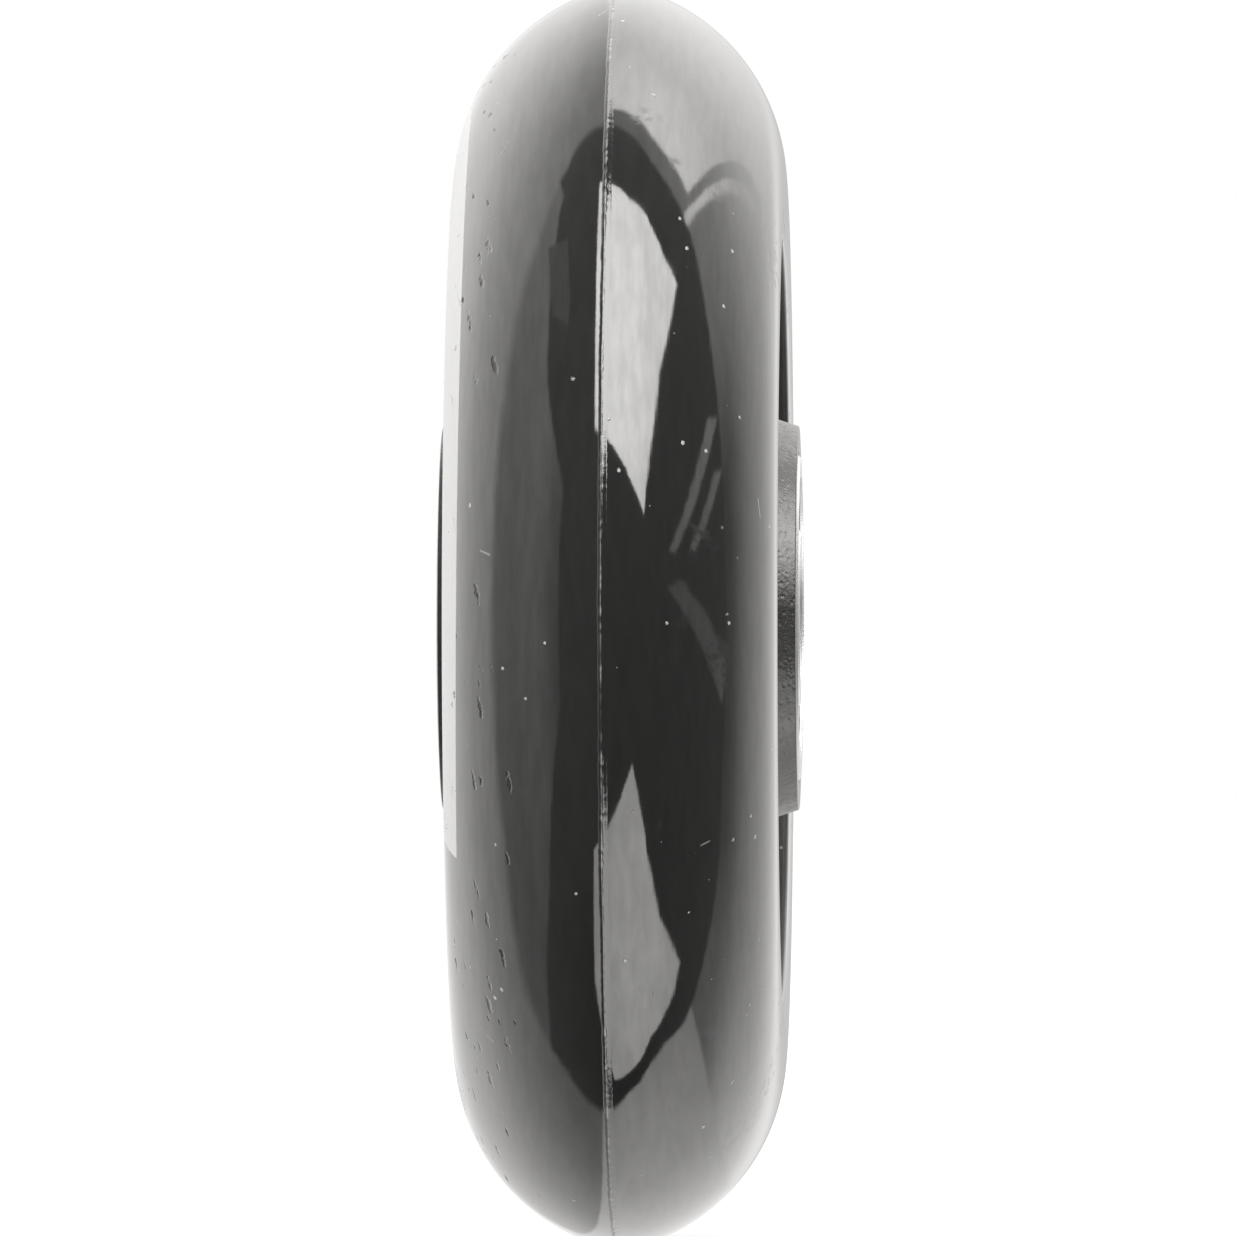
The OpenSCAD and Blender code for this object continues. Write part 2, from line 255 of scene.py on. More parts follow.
class Tree:
    """Short calls for building one shader tree."""

    def __init__(self, owner):
        owner.use_nodes = True
        self.tree = owner.node_tree
        self.tree.nodes.clear()

    def add(self, kind, inputs=None, **settings):
        """A new node with these settings, and with its inputs linked or set."""
        node = self.tree.nodes.new(kind)
        for name, value in settings.items():
            setattr(node, name, value)
        for key, value in (inputs or {}).items():
            if isinstance(value, bpy.types.NodeSocket):
                self.tree.links.new(value, node.inputs[key])
            else:
                node.inputs[key].default_value = value
        return node

    def math(self, operation, *values):
        return self.add("ShaderNodeMath", dict(enumerate(values)), operation=operation).outputs[0]

    def chain(self, operation, values):
        """The operation done with all the values, one after another."""
        result = values[0]
        for value in values[1:]:
            result = self.math(operation, result, value)
        return result

    def total(self, *values):
        return self.chain("ADD", values)

    def product(self, *values):
        return self.chain("MULTIPLY", values)

    def most(self, *values):
        return self.chain("MAXIMUM", values)

    def weighted(self, *pairs):
        """The sum of values times their weights."""
        return self.total(*(self.product(value, weight) for value, weight in pairs))

    def linear(self, value, factor, offset):
        """Value times factor, plus offset."""
        return self.math("MULTIPLY_ADD", value, factor, offset)

    def inverse(self, value):
        """0 for 1 and 1 for 0."""
        return self.math("SUBTRACT", 1.0, value)

    def ramp(self, value, low, high, start=0.0, end=1.0):
        """A smooth step from start at low to end at high."""
        inputs = {"Value": value, "From Min": low, "From Max": high, "To Min": start, "To Max": end}
        return self.add("ShaderNodeMapRange", inputs, interpolation_type="SMOOTHSTEP").outputs["Result"]

    def fade(self, value, low, high):
        """A smooth step from 1 at low to 0 at high."""
        return self.ramp(value, low, high, 1.0, 0.0)

    def blend(self, factor, a, b):
        """Colour a where factor is 0 and b where it is 1."""
        return self.add("ShaderNodeMix", {0: factor, 6: a, 7: b}, data_type="RGBA").outputs[2]

    def level(self, factor, a, b):
        """Number a where factor is 0 and b where it is 1."""
        return self.add("ShaderNodeMix", {0: factor, 2: a, 3: b}, data_type="FLOAT").outputs[0]

    def vector(self, operation, *values):
        return self.add("ShaderNodeVectorMath", dict(enumerate(values)), operation=operation).outputs

    def dot(self, vector, axis):
        return self.vector("DOT_PRODUCT", vector, axis)["Value"]

    def stretch(self, vector, scale):
        return self.vector("MULTIPLY", vector, scale)[0]

    def split(self, vector):
        return self.add("ShaderNodeSeparateXYZ", {0: vector}).outputs

    def join(self, x, y, z=0.0):
        return self.add("ShaderNodeCombineXYZ", {0: x, 1: y, 2: z}).outputs[0]

    def noise(self, vector, scale, detail=3.0, roughness=0.55):
        inputs = {"Vector": vector, "Scale": scale, "Detail": detail, "Roughness": roughness}
        return self.add("ShaderNodeTexNoise", inputs).outputs["Fac"]

    def scatter(self, vector, scale):
        """Random points, one to a cell, as the outputs that tell of the nearest one."""
        return self.add("ShaderNodeTexVoronoi", {"Vector": vector, "Scale": scale}).outputs

    def blots(self, vector, scale, wanted, sizes, core, swell=1.0):
        """1 inside a share of each blot and 0 beyond it, with blots where a cell's draw is over wanted."""
        nearest = self.scatter(vector, scale)
        draw = self.split(nearest["Color"])[0]
        size = self.product(self.ramp(draw, wanted, 1.0, *sizes), swell)
        return self.product(
            self.fade(nearest["Distance"], self.product(size, core), size),
            self.math("GREATER_THAN", draw, wanted),
        )

    def strokes(self, vector, scale, share, width, length, bend):
        """1 on short strokes in a share of the cells, each with its own lean and a little bend."""
        nearest = self.scatter(vector, scale)
        away = self.vector("SUBTRACT", vector, nearest["Position"])[0]
        lean = self.vector("SUBTRACT", nearest["Color"], (0.5, 0.5, 0.5))[0]
        aside = self.dot(away, self.vector("NORMALIZE", lean)[0])
        wave = self.linear(self.noise(vector, scale=0.5, detail=0.0), bend, -bend / 2)
        # The colour's first digits lean a stroke, so its later ones choose the cells
        draw = self.math("FRACT", self.product(self.split(nearest["Color"])[0], 10.0))
        return self.product(
            self.fade(self.math("ABSOLUTE", self.total(aside, wave)), 0.4 * width, width),
            self.fade(self.vector("LENGTH", away)["Value"], 0.8 * length, length),
            self.math("LESS_THAN", draw, share),
        )

    def point(self):
        """The point on the object, in millimetres."""
        return self.stretch(self.add("ShaderNodeTexCoord").outputs["Object"], (1 / MM,) * 3)

    def spot(self):
        """The point on the object, its x, y and z, and its distance from the axle."""
        point = self.point()
        x, y, z = self.split(point)
        radius = self.math("SQRT", self.linear(x, x, self.product(z, z)))
        return Spot(point, x, y, z, radius)

    def bump(self, height, distance, strength=1.0):
        inputs = {"Strength": strength, "Distance": distance * MM, "Height": height}
        return self.add("ShaderNodeBump", inputs).outputs["Normal"]

    def surface(self, **inputs):
        """The material's surface. An input is named as its socket is, with underscores for spaces."""
        sockets = {}
        for name, value in inputs.items():
            sockets[name.replace("_", " ").title().replace("Ior", "IOR")] = value
        shader = self.add("ShaderNodeBsdfPrincipled", sockets)
        self.add("ShaderNodeOutputMaterial", {"Surface": shader.outputs[0]})


def new_material(name):
    material = bpy.data.materials.new(name)
    return material, Tree(material)


# Materials


def flat_map(t, at):
    """The tyre's skin rolled out flat, in millimetres along and across the tread."""
    along = t.product(t.math("ARCTAN2", at.z, at.x), WHEEL_R)
    drop = t.product(t.math("SIGN", at.y), t.math("SUBTRACT", WHEEL_R, at.radius))
    return along, t.total(at.y, drop)


def sidewall_print(t, at):
    """1 on the two plain white arcs printed on the left sidewall."""
    around = t.math("DEGREES", t.math("ARCTAN2", at.z, at.x))
    slanted = t.linear(t.math("SUBTRACT", at.radius, PRINT_MIDDLE), -PRINT_SLANT, around)
    turn = t.math("FLOORED_MODULO", t.math("SUBTRACT", slanted, PRINT_START), PRINT_REPEAT)
    arcs = t.product(t.ramp(turn, 0.0, PRINT_END_SOFT), t.fade(turn, PRINT_ARC - PRINT_END_SOFT, PRINT_ARC))
    reach = t.linear(t.math("DIVIDE", at.z, at.radius), -PRINT_OFF_CENTRE, at.radius)
    ring = t.product(
        t.ramp(at.radius, PRINT_INNER - PRINT_SOFT, PRINT_INNER),
        t.fade(reach, PRINT_OUTER, PRINT_OUTER + PRINT_SOFT),
    )
    return t.product(arcs, ring, t.fade(at.y, PRINT_Y - PRINT_Y_SOFT, PRINT_Y))


def tyre_dust(t, at):
    """1 on ragged specks of dust, which crowd in patches, and less on short bent lint."""
    crowd = t.product(
        t.ramp(t.noise(at.point, scale=0.09, detail=2.0), 0.36, 0.62),
        t.ramp(at.y, -6.0, 5.0, 0.35, 1.0),
    )
    grit = t.noise(at.point, scale=5.0, detail=2.0)
    ragged = t.join(t.linear(grit, 0.26, at.x), at.y, t.linear(grit, -0.2, at.z))
    wanted = t.linear(crowd, -0.36, 0.93)
    speck = t.blots(ragged, scale=0.9, wanted=wanted, sizes=(0.05, 0.18), core=0.5)
    lint = t.strokes(at.point, scale=0.21, share=0.3, width=0.06, length=0.8, bend=0.9)
    return t.most(speck, t.product(lint, 0.45))


def tyre_flaws(t, at, along, across):
    """1 in the small moulding flaws of the left shoulder, which lean along the tread."""
    warp = t.noise(at.point, scale=1.1, detail=2.0)
    leaning = t.join(t.linear(warp, 1.2, along), t.linear(along, 0.35, across))
    shoulder = t.product(t.ramp(at.y, -10.6, -9.8), t.fade(at.y, -8.4, -5.8))
    return t.blots(
        t.stretch(leaning, (0.6, 1.4, 1.0)),
        scale=0.6,
        wanted=t.linear(shoulder, -0.58, 1.0),
        sizes=(0.16, 0.36),
        core=0.35,
        swell=t.ramp(t.noise(at.point, scale=3.0, detail=2.0), 0.3, 0.7, 0.6, 1.3),
    )


def tyre_bore(t, at):
    """1 on the matt bore, inside the lips."""
    return t.product(
        t.fade(at.radius, RIM_R + 0.3, RIM_R + 0.6),
        t.fade(t.math("ABSOLUTE", at.y), LIP_CENTRE[1] + 0.2, LIP_CENTRE[1] + 0.38),
    )


def tyre_material():
    """Black cast polyurethane: a wet gloss with polishing lines, small moulding flaws darkened by painted
    shade, dust and lint.
    """
    material, t = new_material("tyre_urethane_gloss")
    at = t.spot()
    along, across = flat_map(t, at)
    worn = t.noise(at.point, scale=1.7, detail=4.0)
    chipped = t.ramp(t.noise(at.point, scale=0.5, detail=4.0, roughness=0.6), 0.66, 0.68)
    ink = t.product(sidewall_print(t, at), t.ramp(worn, 0.22, 0.30), t.inverse(chipped))
    dust = tyre_dust(t, at)
    flaw = tyre_flaws(t, at, along, across)
    patchy = t.ramp(t.noise(at.point, scale=0.6, detail=1.0), 0.40, 0.66, 0.25, 1.0)
    pit = t.product(t.ramp(flaw, 0.3, 0.85), patchy)
    bore = tyre_bore(t, at)

    rolled_out = t.join(along, across)
    line = t.noise(t.stretch(rolled_out, (0.10, 2.6, 1.0)), scale=1.0, detail=5.0, roughness=0.7)
    film = t.noise(t.stretch(rolled_out, (0.28, 1.1, 1.0)), scale=1.0, detail=4.0, roughness=0.6)
    haze = t.noise(at.point, scale=0.22, detail=4.0)
    scuff = t.product(
        t.ramp(t.noise(at.point, scale=0.16, detail=3.0), 0.58, 0.66),
        t.ramp(t.noise(at.point, scale=1.9, detail=3.0), 0.42, 0.60),
        t.ramp(at.y, 0.8, 2.0),
    )

    body = t.blend(haze, URETHANE_DARK, URETHANE_LIGHT)
    body = t.blend(t.ramp(line, 0.60, 0.75, 0.0, 0.5), body, URETHANE_RUBBED)
    dusty = t.blend(t.product(dust, 0.8), body, DUST)
    colour = t.blend(ink, dusty, t.blend(worn, INK_LIGHT, INK_DARK))

    gloss = t.total(
        t.ramp(haze, 0.35, 0.75, 0.04, 0.07),
        t.ramp(line, 0.55, 0.75, 0.0, 0.03),
        t.weighted((dust, 0.5), (pit, 0.4), (scuff, 0.16)),
    )
    roughness = t.level(t.most(ink, bore), gloss, 0.55)
    # The moulding flaws lose most of their gloss as painted shade, so that they read as dark pits, and the
    # bore loses much of its gloss too
    pit_shade_and_dull_bore = t.most(t.product(pit, 0.85), t.product(bore, 0.7))
    shine = t.product(t.ramp(film, 0.3, 0.7, 0.45, 0.54), t.inverse(pit_shade_and_dull_bore))

    peel = t.noise(at.point, scale=0.32, detail=2.0, roughness=0.4)
    ripple = t.noise(at.point, scale=1.3, detail=2.0, roughness=0.5)
    height = t.weighted((peel, 0.16), (ripple, 0.02), (line, 0.022), (flaw, -0.8), (dust, 0.6), (ink, 0.15))
    normal = t.bump(height, distance=0.06)
    t.surface(base_color=colour, roughness=roughness, specular_ior_level=shine, ior=1.5, normal=normal)
    return material


def flash_material():
    """The parting line's flash: the tyre's urethane, rough along its crest and pale there, the pale being
    partly torn urethane and partly a painted highlight.
    """
    material, t = new_material("flash_urethane_torn_and_highlight")
    tear = t.noise(t.point(), scale=2.6, detail=4.0, roughness=0.65)
    torn_and_highlight = t.add("ShaderNodeAttribute", attribute_name="torn_and_highlight").outputs["Fac"]
    pale_and_highlight = t.product(torn_and_highlight, t.ramp(tear, 0.3, 0.65, 0.5, 1.0))
    # Along the crest the colour goes pale: partly torn urethane, partly a painted highlight
    colour = t.blend(pale_and_highlight, FLASH_DARK, FLASH_TORN_AND_HIGHLIGHT)
    roughness = t.level(t.ramp(torn_and_highlight, 0.0, 0.3), t.ramp(tear, 0.3, 0.7, 0.05, 0.12), 0.42)
    normal = t.bump(tear, distance=0.02, strength=0.6)
    t.surface(base_color=colour, roughness=roughness, ior=1.5, normal=normal)
    return material


def core_material():
    """Black glass-filled nylon: a fine eroded grain with flow marks and rubbed high spots, and faced ends."""
    material, t = new_material("core_nylon_grain")
    at = t.spot()
    grain = t.noise(at.point, scale=2.7, detail=3.0, roughness=0.55)
    pits = t.ramp(t.scatter(at.point, 2.4)["Distance"], 0.1, 0.5, 0.0, 0.6)
    flow = t.noise(t.stretch(at.point, (1.0, 0.25, 1.0)), scale=0.45, detail=4.0)
    faced = t.ramp(t.math("ABSOLUTE", at.y), HUB_HALF - 0.06, HUB_HALF - 0.01)
    body = t.blend(flow, NYLON_DARK, NYLON_LIGHT)
    colour = t.blend(t.ramp(grain, 0.52, 0.72, 0.0, 0.5), body, NYLON_RUBBED)
    moulded = t.total(t.ramp(flow, 0.3, 0.7, 0.32, 0.42), t.ramp(grain, 0.4, 0.7, 0.0, 0.08))
    roughness = t.level(faced, moulded, 0.15)
    height = t.product(t.total(grain, pits), t.inverse(t.product(faced, 0.9)))
    normal = t.bump(height, distance=0.035, strength=0.8)
    t.surface(base_color=colour, roughness=roughness, specular_ior_level=0.4, ior=1.53, normal=normal)
    return material


def turned_metal(name, light, dark, smooth, rough, ring_pitch, depth):
    """Metal turned or ground round the axle: fine rings, stains and a little handling haze."""
    material, t = new_material(name)
    at = t.spot()
    # Both terms count, so that rings show on flat faces and on cylinders alike
    across = t.linear(at.y, 0.73, at.radius)
    drift = t.noise(at.point, scale=0.02, detail=2.0)
    rings = {"W": t.weighted((across, 1 / ring_pitch), (drift, 3.0)), "Scale": 1.0, "Detail": 4.0}
    cut = t.add("ShaderNodeTexNoise", rings, noise_dimensions="1D").outputs["Fac"]
    stain = t.noise(at.point, scale=0.35, detail=4.0)
    colour = t.blend(t.ramp(stain, 0.3, 0.75), light, dark)
    colour = t.blend(t.ramp(cut, 0.35, 0.7, 0.0, 0.5), colour, STEEL_CUT)
    roughness = t.level(t.ramp(t.weighted((cut, 0.6), (stain, 0.5)), 0.35, 0.75), smooth, rough)
    t.surface(base_color=colour, metallic=1.0, roughness=roughness, normal=t.bump(cut, depth, strength=0.6))
    return material


def ball_material():
    """Lapped chrome steel with a faint film of oil."""
    material, t = new_material("ball_steel_lapped")
    film = t.noise(t.point(), scale=1.1, detail=3.0)
    colour = t.blend(film, BALL_CLEAN, BALL_OILED)
    t.surface(base_color=colour, metallic=1.0, roughness=t.ramp(film, 0.3, 0.7, 0.05, 0.14))
    return material


def cage_material():
    """Natural nylon, slightly waxy and oil-stained."""
    material, t = new_material("cage_nylon_wax")
    point = t.point()
    stain = t.noise(point, scale=0.8, detail=4.0)
    grain = t.noise(point, scale=6.0, detail=2.0)
    colour = t.blend(stain, CAGE_CLEAN, CAGE_STAINED)
    roughness = t.ramp(stain, 0.3, 0.7, 0.38, 0.52)
    normal = t.bump(grain, distance=0.02, strength=0.5)
    t.surface(base_color=colour, roughness=roughness, ior=1.53, normal=normal)
    return material


def floor_material():
    """A pale floor that is white to the camera and still takes the wheel's shadow."""
    material, t = new_material("studio_floor")
    path = t.add("ShaderNodeLightPath").outputs
    seen = t.most(path["Is Camera Ray"], path["Is Glossy Ray"], path["Is Transmission Ray"])
    cloud = t.noise(t.add("ShaderNodeTexCoord").outputs["Object"], scale=3.0, detail=2.0)
    paint = t.add("ShaderNodeBsdfDiffuse", {"Color": t.blend(cloud, FLOOR_DARK, FLOOR_LIGHT)})
    glow = t.add("ShaderNodeEmission", {"Strength": t.product(seen, 0.45)})
    both = t.add("ShaderNodeAddShader", {0: paint.outputs[0], 1: glow.outputs[0]})
    t.add("ShaderNodeOutputMaterial", {"Surface": both.outputs[0]})
    return material


# Meshes


def between(a, b, share):
    return a + (b - a) * share


def polar(radius, angle):
    return Vector((radius * math.cos(angle), radius * math.sin(angle)))


def on_axle(radius, angle, y):
    """A point in metres, with the angle from +X towards +Z."""
    return Vector((radius * math.cos(angle), y, radius * math.sin(angle))) * MM


def arc(centre, radius, start, end, steps):
    """Points of (radius, y) along an arc, with angles from outward towards the side."""
    turns = [between(start, end, k / steps) for k in range(steps + 1)]
    return [(centre[0] + radius * math.cos(a), centre[1] + radius * math.sin(a)) for a in turns]


def rounded(points, radius, steps=4, closed=True):
    """The outline with its corners rounded. An open outline keeps its two ends."""
    straight = math.radians(86)
    longest = 0.45
    out = []
    for i, corner in enumerate(points):
        here = Vector(corner)
        before = Vector(points[i - 1]) - here
        after = Vector(points[(i + 1) % len(points)]) - here
        is_end = not closed and i in (0, len(points) - 1)
        half = math.pi / 2 if is_end else before.angle(after) / 2
        if half > straight:
            out.append(here)
            continue
        reach = min(radius / math.tan(half), longest * before.length, longest * after.length)
        start = here + before.normalized() * reach
        end = here + after.normalized() * reach
        for k in range(steps + 1):
            share = k / steps
            out.append(start.lerp(here, share).lerp(here.lerp(end, share), share))
    return out


def skin(bm, rings, closed=True):
    """Faces from each ring of vertices to the next, and from the last to the first where they close."""
    following = rings[1:] + rings[:1] if closed else rings[1:]
    for here, there in zip(rings, following):
        for i in range(len(here)):
            bm.faces.new((here[i - 1], here[i], there[i], there[i - 1]))


def grid(bm, lines):
    """Faces between lines of vertices. Vertices at one place count as one corner."""
    for here, there in zip(lines, lines[1:]):
        for i in range(len(here) - 1):
            corners = []
            for vertex in (here[i], here[i + 1], there[i + 1], there[i]):
                if all((vertex.co - other.co).length > WELD * MM for other in corners):
                    corners.append(vertex)
            if len(corners) > 2:
                bm.faces.new(corners)


def finish_mesh(name, bm, sharp_degrees):
    """A closed mesh made into an object, with its faces outward and smooth up to that angle."""
    bmesh.ops.remove_doubles(bm, verts=bm.verts, dist=WELD * MM)
    bmesh.ops.recalc_face_normals(bm, faces=bm.faces)
    mesh = bpy.data.meshes.new(name)
    bm.to_mesh(mesh)
    bm.free()
    mesh.shade_smooth()
    mesh.set_sharp_from_angle(angle=math.radians(sharp_degrees))
    piece = bpy.data.objects.new(name, mesh)
    bpy.context.scene.collection.objects.link(piece)
    return piece


def add_weighted_normals(piece):
    """Keeps flat faces flat beside their rounded edges."""
    modifier = piece.modifiers.new("flat_faces", "WEIGHTED_NORMAL")
    modifier.keep_sharp = True


def lathe(name, outline, segments, sharp_degrees):
    """A ring turned about the axle from a closed outline of (radius, y)."""
    bm = bmesh.new()
    turns = [math.tau * s / segments for s in range(segments)]
    skin(bm, [[bm.verts.new(on_axle(r, turn, y)) for r, y in outline] for turn in turns])
    return finish_mesh(name, bm, sharp_degrees)


def tyre_outline():
    """The tyre's section from one lip over the tread to the other, and back round the core's flange."""
    shoulder = math.atan2(-SIDE_CENTRE[1], CROWN_CENTRE[0] - SIDE_CENTRE[0])
    widest = math.pi / 2
    lip = math.atan2(LIP_CENTRE[1] - SIDEWALL_CENTRE[1], LIP_CENTRE[0] - SIDEWALL_CENTRE[0])
    half = arc(CROWN_CENTRE, CROWN_R, 0, shoulder, steps=14)
    half += arc(SIDE_CENTRE, SIDE_R, shoulder, widest, steps=36)[1:]
    half += arc(SIDEWALL_CENTRE, SIDEWALL_R, widest, lip, steps=4)[1:]
    half += arc(LIP_CENTRE, LIP_R, lip, math.pi, steps=6)[1:]
    half += [(RIM_R, y) for y in (*BORE_ROWS, FLANGE_HALF)]
    half += [(FLANGE_R, FLANGE_HALF)]
    return half + [(r, -y) for r, y in reversed(half[1:])]


def make_tyre():
    return lathe("tyre_cast", tyre_outline(), segments=384, sharp_degrees=50.0)


def wander(rng, count, cells):
    """A smooth random line of count values from 0 to 1 that closes on itself."""
    knots = [rng.random() for _ in range(cells)]
    line = []
    for i in range(count):
        at = i * cells / count
        k = int(at)
        share = at - k
        share = share * share * (3 - 2 * share)
        line.append(between(knots[k % cells], knots[(k + 1) % cells], share))
    return line


def make_flash():
    """The low ridge that the mould's parting line leaves round the tread, with a torn crest."""
    rng = random.Random(FLASH_SEED)
    slow, middle, fine, drift = (wander(rng, FLASH_STEPS, cells) for cells in (36, 220, 900, 60))
    bm = bmesh.new()
    torn_and_highlight_layer = bm.verts.layers.float.new("torn_and_highlight")
    rings = []
    for i in range(FLASH_STEPS):
        torn_and_highlight = max(0.0, middle[i] - 0.6) * fine[i]
        height = 0.050 + 0.022 * slow[i] + 0.016 * fine[i] + 0.07 * torn_and_highlight
        height = min(height, FLASH_TOP - FLASH_MARGIN)
        y = FLASH_Y + 0.05 * (drift[i] - 0.5) + 0.03 * (fine[i] - 0.5)
        foot = 0.19 + 0.04 * middle[i]
        crest = 0.014 + 0.02 * fine[i] + 0.05 * torn_and_highlight
        pale_and_highlight = min(1.0, 0.05 + middle[i] * fine[i] + 3.0 * torn_and_highlight)
        # Up, aside and how pale, from the left foot over the crest to the right foot. The pale share is torn
        # urethane with a painted highlight on the crest
        section = [
            (FLASH_ROOT, -foot - 0.05, 0),
            (FLASH_SKIN, -foot, 0),
            (0.46 * height, -0.55 * foot, 0),
            (0.90 * height, -crest - 0.012, 0),
            (height, -crest, pale_and_highlight),
            (0.97 * height, crest, pale_and_highlight),
            (0.60 * height, crest + 0.03, 0),
            (0.30 * height, 0.13, 0),
            (0.12 * height, 0.23, 0),
            (0.03 * height, 0.33, 0),
            (FLASH_SKIN, 0.43, 0),
            (FLASH_ROOT, 0.5, 0),
        ]
        turn = math.tau * i / FLASH_STEPS
        ring = []
        for up, aside, share in section:
            vertex = bm.verts.new(on_axle(WHEEL_R + up, turn, y + aside))
            vertex[torn_and_highlight_layer] = share
            ring.append(vertex)
        rings.append(ring)
    skin(bm, rings)
    return finish_mesh("tyre_flash", bm, sharp_degrees=70.0)


def web_height(radius):
    """Half the thickness of a spoke at this radius: dished, with a fillet at each end."""
    middle = (BARREL_R + RIM_INNER_R) / 2
    span = (RIM_INNER_R - BARREL_R) / 2
    depth = SPOKE_END - SPOKE_MID
    dish = (span * span + depth * depth) / (2 * depth)
    height = SPOKE_MID + dish - math.sqrt(max(dish * dish - (radius - middle) ** 2, 0.0))
    for gap in (radius - BARREL_R, RIM_INNER_R - radius):
        if gap < ROOT_FILLET:
            reach = ROOT_FILLET - max(gap, 0.0)
            height += ROOT_FILLET - math.sqrt(ROOT_FILLET**2 - reach**2)
    return height


def window_side():
    """Half of one window about +X, from the rim to the middle of its inner arc, and where it leaves the rim.

    Each row has a point of the window's outline, its direction into the core, and the point across from
    it that bounds the core's sector.
    """
    half = math.pi / SPOKES
    side = half + math.pi / 2
    last = half * FOOT_SHARE
    along = polar(1, half)
    outward = polar(1, side)
    foot = Vector((SPOKE_HALF / math.sin(half), 0)) - outward * WINDOW_ROUND

    def corner(radius):
        lean = foot.dot(along)
        return foot + along * (math.sqrt(lean * lean - foot.length_squared + radius * radius) - lean)

    outer = corner(RIM_INNER_R - WINDOW_ROUND)
    inner = corner(WINDOW_R + WINDOW_ROUND)
    touch = math.atan2(outer.y, outer.x)
    inner_turn = math.atan2(inner.y, inner.x)
    rows = []
    for k in range(CORNER_STEPS + 1):
        share = k / CORNER_STEPS
        way = polar(1, between(touch, side, share))
        rows.append(Row(outer + way * WINDOW_ROUND, way, polar(RIM_INNER_R, between(touch, half, share))))
    start = outer + outward * WINDOW_ROUND
    end = inner + outward * WINDOW_ROUND
    for k in range(1, SIDE_STEPS + 1):
        share = k / SIDE_STEPS
        rows.append(Row(start.lerp(end, share), outward, along * between(RIM_INNER_R, FOOT_R, share)))
    for k in range(1, FOOT_STEPS + 1):
        way = polar(1, between(side, inner_turn + math.pi, k / FOOT_STEPS))
        share = 2 * k / FOOT_STEPS
        if share <= 1:
            bound = along * between(FOOT_R, BARREL_R, share)
        else:
            bound = polar(BARREL_R, between(half, last, share - 1))
        rows.append(Row(inner + way * WINDOW_ROUND, way, bound))
    for k in range(1, ARC_STEPS + 1):
        share = 1 - k / ARC_STEPS
        way = polar(1, inner_turn * share)
        rows.append(Row(way * WINDOW_R, -way, polar(BARREL_R, last * share)))
    return rows, touch


def spoke_section(row):
    """Places and heights over the spoke's face to the window's rounded edge, and back on the other side."""
    reach = min(EDGE_ROUND, EDGE_SHARE * (row.bound - row.point).length)
    crest = row.point + row.way * reach
    top = []
    for k in range(EDGE_STEPS + 1):
        place = row.bound.lerp(crest, k / EDGE_STEPS)
        top.append((place, web_height(place.length)))
    for k in range(1, EDGE_STEPS + 1):
        bend = math.pi / 2 * k / EDGE_STEPS
        place = row.point + row.way * reach * (1 - math.sin(bend))
        top.append((place, web_height(crest.length) - reach * (1 - math.cos(bend))))
    return top + [(place, -height) for place, height in reversed(top)]


def make_core():
    """The moulded core: barrel, spokes, rim and the flange inside the tyre, as one closed mesh."""
    half_rows, touch = window_side()
    rows = half_rows + [Row(*(Vector((v.x, -v.y)) for v in row)) for row in reversed(half_rows[:-1])]
    wall_turns = [touch * (1 - 2 * k / WALL_STEPS) for k in range(WALL_STEPS + 1)]
    middles = [(sector + 0.5) * math.tau / SPOKES for sector in range(SPOKES)]
    root = web_height(BARREL_R)
    edge = web_height(RIM_INNER_R)
    bm = bmesh.new()

    def column(points, turn):
        return [bm.verts.new(on_axle(radius, angle + turn, y)) for radius, angle, y in points]

    for middle in middles:
        columns = []
        for row in rows:
            section = [(place.length, math.atan2(place.y, place.x), y) for place, y in spoke_section(row)]
            columns.append(column(section, middle))
        grid(bm, columns)
        wall = ((RIM_INNER_R, 0.0, edge), (RIM_INNER_R, 0.0, -edge))
        grid(bm, [column(wall, middle + turn) for turn in wall_turns])

    barrel = [
        (BARREL_R, root), (BARREL_R, TAPER_Y), (BARREL_END_R, HUB_HALF), (SEAT_R + SEAT_CHAMFER, HUB_HALF),
        (SEAT_R, HUB_HALF - SEAT_CHAMFER), (SEAT_R, SHOULDER_HALF), (SHOULDER_R, SHOULDER_HALF),
    ]
    rim = [
        (RIM_INNER_R, edge), (RIM_INNER_R, RIM_HALF - RIM_CHAMFER), (RIM_INNER_R + RIM_CHAMFER, RIM_HALF),
        (RIM_R, RIM_HALF), (RIM_R, FLANGE_HALF), (FLANGE_R, FLANGE_HALF),
    ]
    collars = (
        (BARREL_R, barrel, [], HUB_ROUND),
        (RIM_INNER_R, rim, wall_turns[1:-1], RIM_ROUND),
    )
    for radius, half, more_turns, corner_round in collars:
        bounds = [row.bound for row in rows if abs(row.bound.length - radius) < WELD]
        # A sector's last turn is the next sector's first
        turns = sorted([math.atan2(bound.y, bound.x) for bound in bounds] + more_turns)[:-1]
        outline = half + [(r, -y) for r, y in reversed(half)]
        outline = [(r, 0.0, y) for r, y in rounded(outline, corner_round, steps=3, closed=False)]
        lines = [column(outline, middle + turn) for middle in middles for turn in turns]
        grid(bm, lines + lines[:1])
    piece = finish_mesh("core_moulded", bm, sharp_degrees=50.0)
    add_weighted_normals(piece)
    return piece


